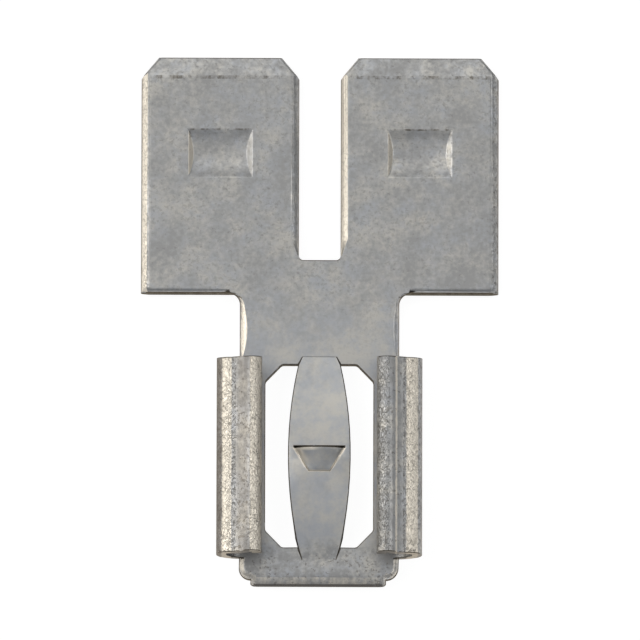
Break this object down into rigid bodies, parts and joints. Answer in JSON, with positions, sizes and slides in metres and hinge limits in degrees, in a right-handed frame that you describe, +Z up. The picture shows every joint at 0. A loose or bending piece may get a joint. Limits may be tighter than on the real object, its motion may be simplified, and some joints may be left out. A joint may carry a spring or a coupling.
{
  "type": "piggyback spade terminal",
  "caption": "Folded sheet-metal push-on receptacle with a sprung tongue, carrying two male spade tabs side by side on its tail.",
  "frame": {"origin": "middle of the outline in X and Y, on the surface that the backs of the tabs lie on", "axes": "+X across the terminal, +Y from the receptacle's mouth to the tips of the male tabs, +Z up through the open side of the curls"},
  "size_m": [0.0142, 0.0214, 0.0026],
  "materials": {
    "tinned_brass": "matt tin plating over brass"
  },
  "bodies": {
    "root": {"terminal": "tinned_brass"}
  },
  "joints": []
}
